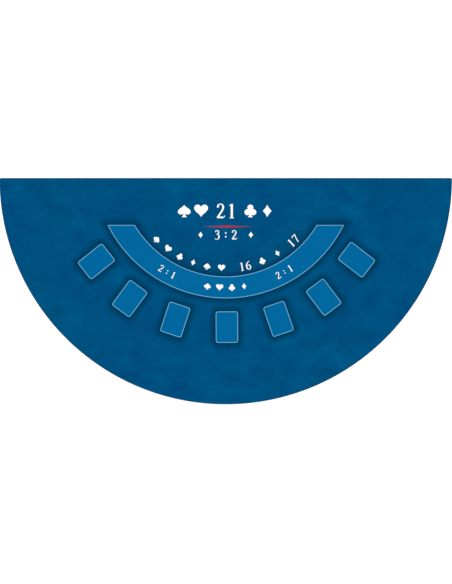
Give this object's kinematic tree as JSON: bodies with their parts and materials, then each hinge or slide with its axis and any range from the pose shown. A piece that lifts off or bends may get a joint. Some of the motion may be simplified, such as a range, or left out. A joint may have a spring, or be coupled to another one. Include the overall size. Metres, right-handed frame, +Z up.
{
  "type": "blackjack table",
  "caption": "Half-round card table with a printed blue cloth stretched over a padded plywood top, on two folding tube leg frames with two-link braces.",
  "frame": {"origin": "on the floor, under the middle of the top's bounding box", "axes": "+X along the dealer's straight edge, +Y from the players to the dealer, +Z up"},
  "size_m": [1.8, 0.8998, 0.76],
  "materials": {
    "birch_plywood": "sanded, bare",
    "grey_foam": "closed-cell foam sheet, matt",
    "blue_cloth": "short-napped card-table cloth, dyed blue",
    "light_blue_print": "printed on the cloth",
    "white_print": "printed on the cloth",
    "red_print": "printed on the cloth",
    "galvanised_wire": "bright wire",
    "pine": "planed, bare",
    "zinc_steel": "zinc plated",
    "black_nylon": "moulded, fine texture",
    "black_powder_coat": "fine textured powder coat",
    "black_rubber": "moulded"
  },
  "bodies": {
    "tabletop": {"top_board": "birch_plywood", "foam_underlay": "grey_foam", "layout_cloth": "blue_cloth", "light_print": "light_blue_print", "white_print": "white_print", "red_print": "red_print", "hem_staples": "galvanised_wire", "front_rail": "pine", "rear_rail": "pine", "left_hinge_rail": "pine", "right_hinge_rail": "pine", "rail_screws": "zinc_steel", "hinge_blocks": "black_nylon", "hinge_block_screws": "zinc_steel", "brace_brackets": "zinc_steel", "bracket_screws": "zinc_steel", "bracket_rivets": "zinc_steel", "leg_clips": "black_nylon", "clip_screws": "zinc_steel"},
    "left_leg_frame": {"left_hinge_tube": "black_powder_coat", "left_front_leg": "black_powder_coat", "left_rear_leg": "black_powder_coat", "left_stretcher": "black_powder_coat", "left_tube_caps": "black_nylon", "left_front_foot": "black_rubber", "left_rear_foot": "black_rubber", "left_leg_rivets": "zinc_steel"},
    "left_upper_braces": {"left_front_upper_link": "zinc_steel", "left_rear_upper_link": "zinc_steel", "left_release_bar": "zinc_steel"},
    "left_lower_braces": {"left_front_lower_link": "zinc_steel", "left_rear_lower_link": "zinc_steel", "left_knuckle_rivets": "zinc_steel"},
    "right_leg_frame": {"right_hinge_tube": "black_powder_coat", "right_front_leg": "black_powder_coat", "right_rear_leg": "black_powder_coat", "right_stretcher": "black_powder_coat", "right_tube_caps": "black_nylon", "right_front_foot": "black_rubber", "right_rear_foot": "black_rubber", "right_leg_rivets": "zinc_steel"},
    "right_upper_braces": {"right_front_upper_link": "zinc_steel", "right_rear_upper_link": "zinc_steel", "right_release_bar": "zinc_steel"},
    "right_lower_braces": {"right_front_lower_link": "zinc_steel", "right_rear_lower_link": "zinc_steel", "right_knuckle_rivets": "zinc_steel"}
  },
  "joints": [
    {"name": "left_leg_fold", "type": "hinge", "parent": "tabletop", "child": "left_leg_frame", "pos_m": [-0.52, 0.095, 0.695], "axis": [0, -1, 0], "range_deg": [0, 94]},
    {"name": "left_upper_brace_swing", "type": "hinge", "parent": "tabletop", "child": "left_upper_braces", "pos_m": [-0.41, 0.095, 0.695], "axis": [0, -1, 0], "range_deg": [-43.2, 0]},
    {"name": "left_lower_brace_swing", "type": "hinge", "parent": "left_leg_frame", "child": "left_lower_braces", "pos_m": [-0.53814, 0.095, 0.43563], "axis": [0, -1, 0], "range_deg": [0, 23.3]},
    {"name": "right_leg_fold", "type": "hinge", "parent": "tabletop", "child": "right_leg_frame", "pos_m": [0.52, 0.055, 0.695], "axis": [0, 1, 0], "range_deg": [0, 94]},
    {"name": "right_upper_brace_swing", "type": "hinge", "parent": "tabletop", "child": "right_upper_braces", "pos_m": [0.41, 0.055, 0.695], "axis": [0, 1, 0], "range_deg": [-43.2, 0]},
    {"name": "right_lower_brace_swing", "type": "hinge", "parent": "right_leg_frame", "child": "right_lower_braces", "pos_m": [0.53814, 0.055, 0.43563], "axis": [0, 1, 0], "range_deg": [0, 23.3]}
  ],
  "couplings": [
    {"joint": "left_upper_brace_swing", "follows": "left_leg_fold", "ratio": -0.45728},
    {"joint": "left_lower_brace_swing", "follows": "left_leg_fold", "ratio": 0.24613},
    {"joint": "right_upper_brace_swing", "follows": "right_leg_fold", "ratio": -0.45728},
    {"joint": "right_lower_brace_swing", "follows": "right_leg_fold", "ratio": 0.24613}
  ]
}
